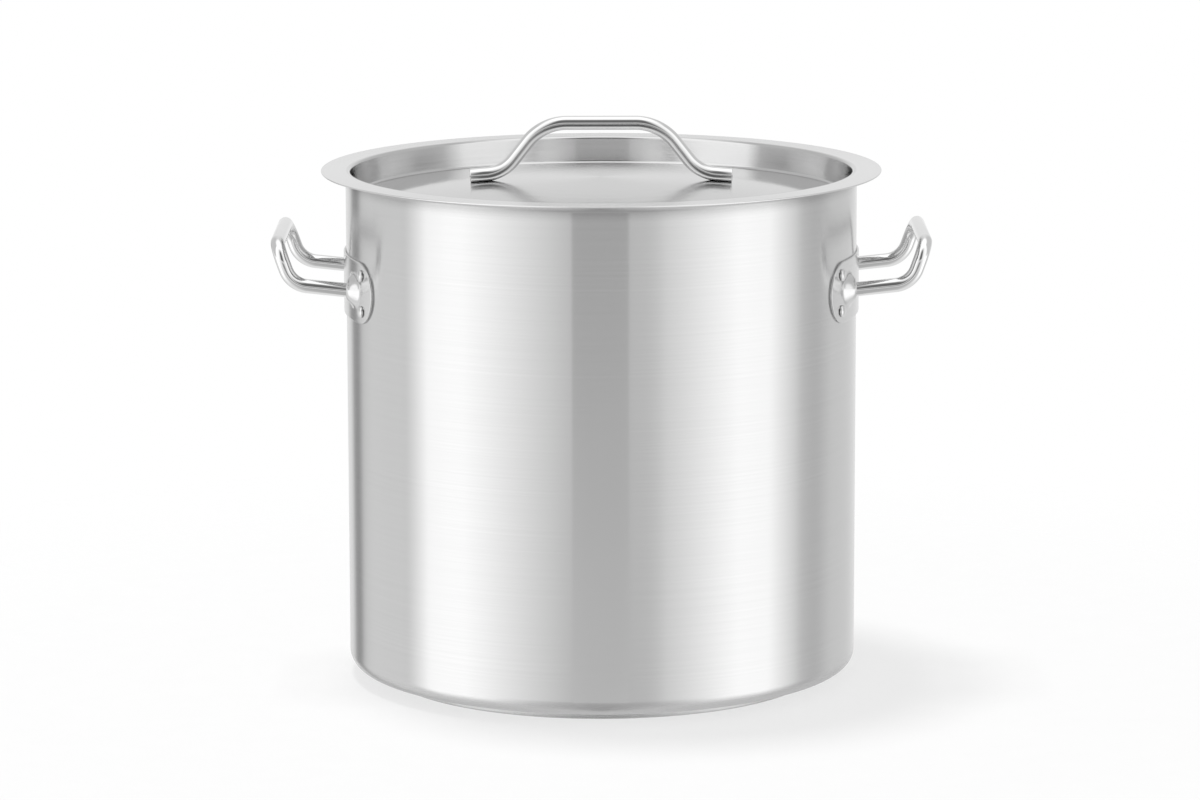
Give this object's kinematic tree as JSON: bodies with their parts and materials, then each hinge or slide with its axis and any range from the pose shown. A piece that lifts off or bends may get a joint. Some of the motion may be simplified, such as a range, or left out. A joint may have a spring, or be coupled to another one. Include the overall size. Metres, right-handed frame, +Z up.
{
  "type": "stock pot",
  "caption": "Tall straight-sided steel stock pot with a thick capsuled base, riveted loop handles and a sunken lift-off lid with a bent rod handle.",
  "frame": {"origin": "on the floor under the middle of the base", "axes": "+Z up, along the pot's axis and the way the lid lifts; the two loop handles lie along X"},
  "size_m": [0.464, 0.3968, 0.4004],
  "materials": {
    "brushed_steel": "stainless steel, brushed around the pot",
    "base_steel": "stainless steel cap, turned satin",
    "core_aluminium": "plain rolled disc, enclosed",
    "lid_steel": "stainless steel, brushed in circles",
    "polished_rod": "stainless steel rod, polished bright",
    "bracket_steel": "stainless steel plate, fine satin",
    "rivet_steel": "stainless steel rivet, bright"
  },
  "bodies": {
    "pot": {"pot_body": "brushed_steel", "base_cap": "base_steel", "core_disc": "core_aluminium", "left_bracket": "bracket_steel", "right_bracket": "bracket_steel", "left_handle": "polished_rod", "right_handle": "polished_rod", "left_rivet_1": "rivet_steel", "left_rivet_2": "rivet_steel", "left_rivet_3": "rivet_steel", "left_rivet_4": "rivet_steel", "right_rivet_1": "rivet_steel", "right_rivet_2": "rivet_steel", "right_rivet_3": "rivet_steel", "right_rivet_4": "rivet_steel"},
    "lid": {"lid_panel": "lid_steel", "lid_handle": "polished_rod"}
  },
  "joints": [
    {"name": "lid_lift", "type": "slide", "parent": "pot", "child": "lid", "axis": [0, 0, 1], "range_m": [0, 0.25]}
  ]
}
